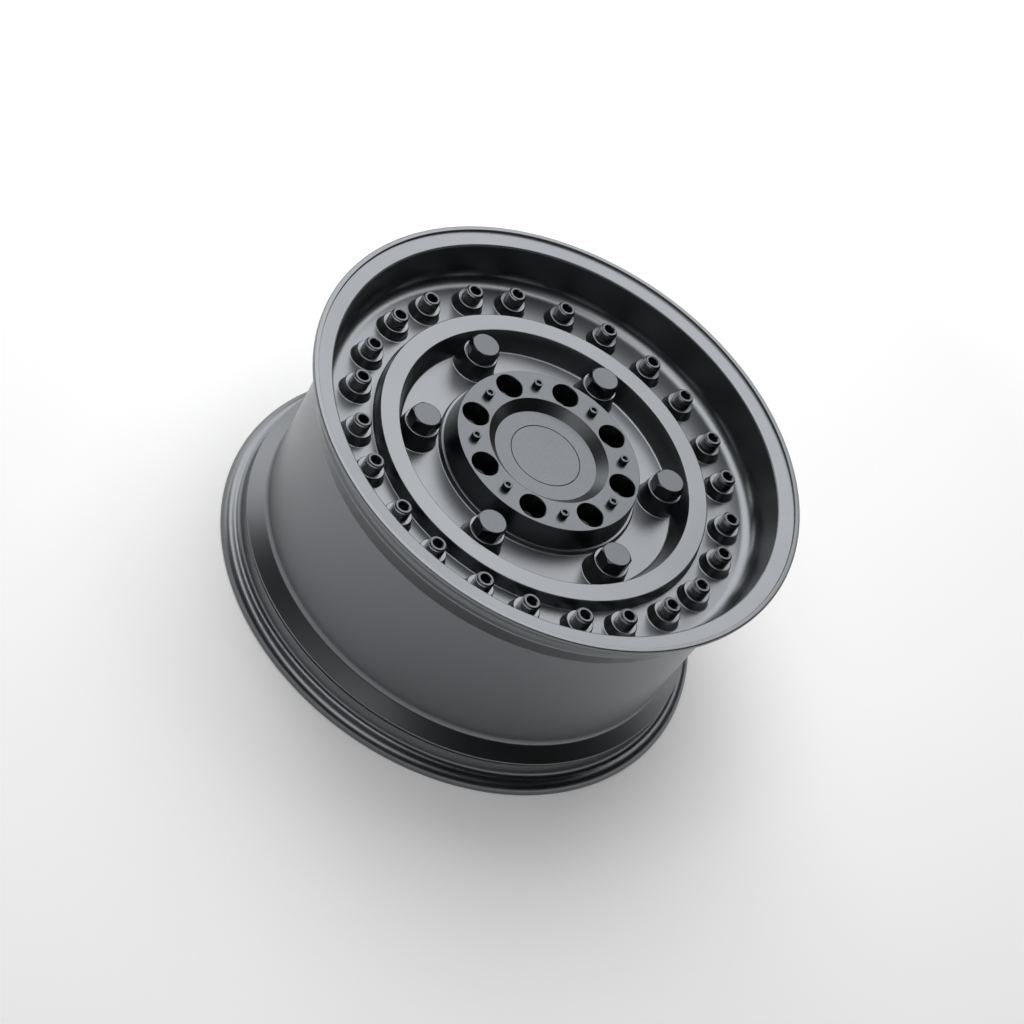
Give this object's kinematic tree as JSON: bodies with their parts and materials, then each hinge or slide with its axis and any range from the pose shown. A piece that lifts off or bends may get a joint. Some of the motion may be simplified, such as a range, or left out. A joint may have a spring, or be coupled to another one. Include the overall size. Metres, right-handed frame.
{
  "type": "car wheel",
  "caption": "Cast alloy truck wheel with a deep lip, a raised ring, paired studs round the rim, hexagon bolts and a screwed-on hub cap with lug openings.",
  "frame": {"origin": "middle of the plane that the inboard rim flange rests on", "axes": "+Z along the wheel's axis towards its face, +X through the first lug hole"},
  "size_m": [0.5473, 0.5474, 0.264],
  "materials": {
    "casting": "satin grey powder coat",
    "cap": "matte grey paint with a fine grain",
    "badge": "matte grey, bare",
    "fasteners": "satin black coating on steel"
  },
  "bodies": {
    "root": {"wheel_casting": "casting", "hub_cap": "cap", "cap_badge": "badge", "disc_bolt_1": "fasteners", "disc_bolt_2": "fasteners", "disc_bolt_3": "fasteners", "disc_bolt_4": "fasteners", "disc_bolt_5": "fasteners", "disc_bolt_6": "fasteners", "cap_screw_1": "fasteners", "cap_screw_2": "fasteners", "cap_screw_3": "fasteners", "cap_screw_4": "fasteners", "cap_screw_5": "fasteners", "cap_screw_6": "fasteners", "cap_screw_7": "fasteners", "cap_screw_8": "fasteners", "rim_stud_01": "fasteners", "rim_stud_02": "fasteners", "rim_stud_03": "fasteners", "rim_stud_04": "fasteners", "rim_stud_05": "fasteners", "rim_stud_06": "fasteners", "rim_stud_07": "fasteners", "rim_stud_08": "fasteners", "rim_stud_09": "fasteners", "rim_stud_10": "fasteners", "rim_stud_11": "fasteners", "rim_stud_12": "fasteners", "rim_stud_13": "fasteners", "rim_stud_14": "fasteners", "rim_stud_15": "fasteners", "rim_stud_16": "fasteners", "rim_stud_17": "fasteners", "rim_stud_18": "fasteners", "rim_stud_19": "fasteners", "rim_stud_20": "fasteners", "rim_stud_21": "fasteners", "rim_stud_22": "fasteners", "rim_stud_23": "fasteners", "rim_stud_24": "fasteners"}
  },
  "joints": []
}
